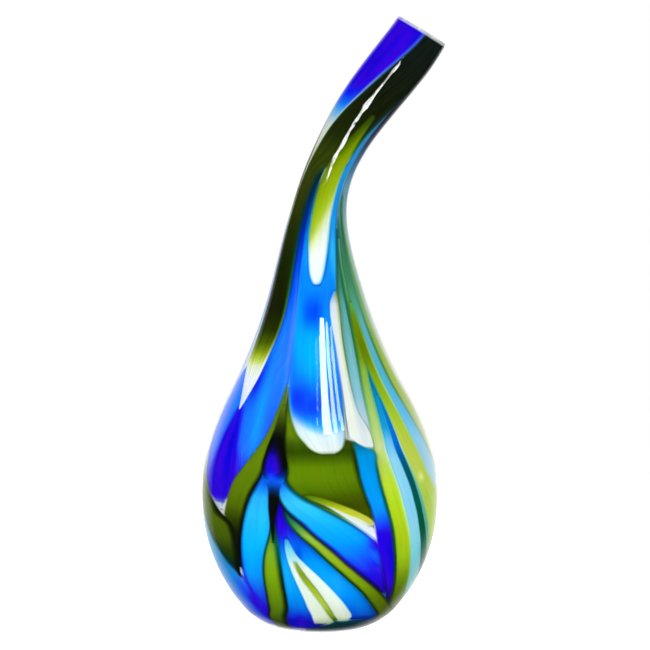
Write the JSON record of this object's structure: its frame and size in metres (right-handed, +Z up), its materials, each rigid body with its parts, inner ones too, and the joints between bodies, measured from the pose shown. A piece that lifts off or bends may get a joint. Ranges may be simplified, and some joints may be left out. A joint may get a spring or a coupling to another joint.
{
  "type": "hand blown art glass vase",
  "caption": "Teardrop glass vase with a slim leaning neck, flat cut lip and flat foot; coloured trails combed into leaves lie between an opal inner bubble and a clear outer casing.",
  "frame": {"origin": "centre of the flat ground foot", "axes": "+Z up through the body, the neck leans towards +X, and the front of the colour pattern faces -Y"},
  "size_m": [0.1801, 0.175, 0.454],
  "materials": {
    "clear_glass": "polished clear casing",
    "opal_glass": "opaque white, glossy",
    "cobalt_glass": "opaque cobalt blue, glossy",
    "sky_glass": "opaque sky blue, glossy",
    "aqua_glass": "opaque pale aqua, glossy",
    "teal_glass": "opaque dark teal, glossy",
    "lime_glass": "opaque lime green, glossy",
    "olive_glass": "opaque olive green, glossy",
    "dark_green_glass": "opaque near black green, glossy"
  },
  "bodies": {
    "root": {"clear_casing_foot": "clear_glass", "clear_casing_belly": "clear_glass", "clear_casing_shoulder": "clear_glass", "clear_casing_neck": "clear_glass", "clear_casing_lip": "clear_glass", "opal_core": "opal_glass", "neck_cobalt": "cobalt_glass", "neck_dark_green": "dark_green_glass", "neck_lime_tongue": "lime_glass", "centre_sky": "sky_glass", "left_sky_lobe": "sky_glass", "left_cobalt_streak": "cobalt_glass", "upper_olive_arm": "olive_glass", "left_olive_leaf": "olive_glass", "apex_cobalt": "cobalt_glass", "left_sky_petal": "sky_glass", "lower_olive_leaf": "olive_glass", "left_sky_band": "sky_glass", "centre_olive_leaf": "olive_glass", "yellow_seam": "lime_glass", "white_wedge": "opal_glass", "sweeping_sky_band": "sky_glass", "azure_stripe": "sky_glass", "cream_streak": "opal_glass", "inner_aqua_ribbon": "aqua_glass", "long_lime_ribbon": "lime_glass", "forked_lime_ribbon": "lime_glass", "wide_aqua_ribbon": "aqua_glass", "teal_ribbon": "teal_glass", "low_aqua_ribbon": "aqua_glass", "side_aqua_ribbon": "aqua_glass", "side_olive_ribbon": "olive_glass", "pale_side_ribbon": "aqua_glass", "lime_sweep": "lime_glass", "lower_sky_fan": "sky_glass", "white_leaf": "opal_glass", "white_leaf_vein": "lime_glass", "foot_teal": "teal_glass", "back_neck_sky": "sky_glass", "back_neck_olive": "olive_glass", "back_cobalt_lobe": "cobalt_glass", "back_lime_ribbon": "lime_glass", "back_aqua_ribbon": "aqua_glass", "back_olive_leaf": "olive_glass", "back_sky_petal": "sky_glass", "back_teal_fan": "teal_glass", "back_white_leaf": "opal_glass", "back_leaf_vein": "lime_glass", "back_cobalt_leaf": "cobalt_glass"}
  },
  "joints": []
}
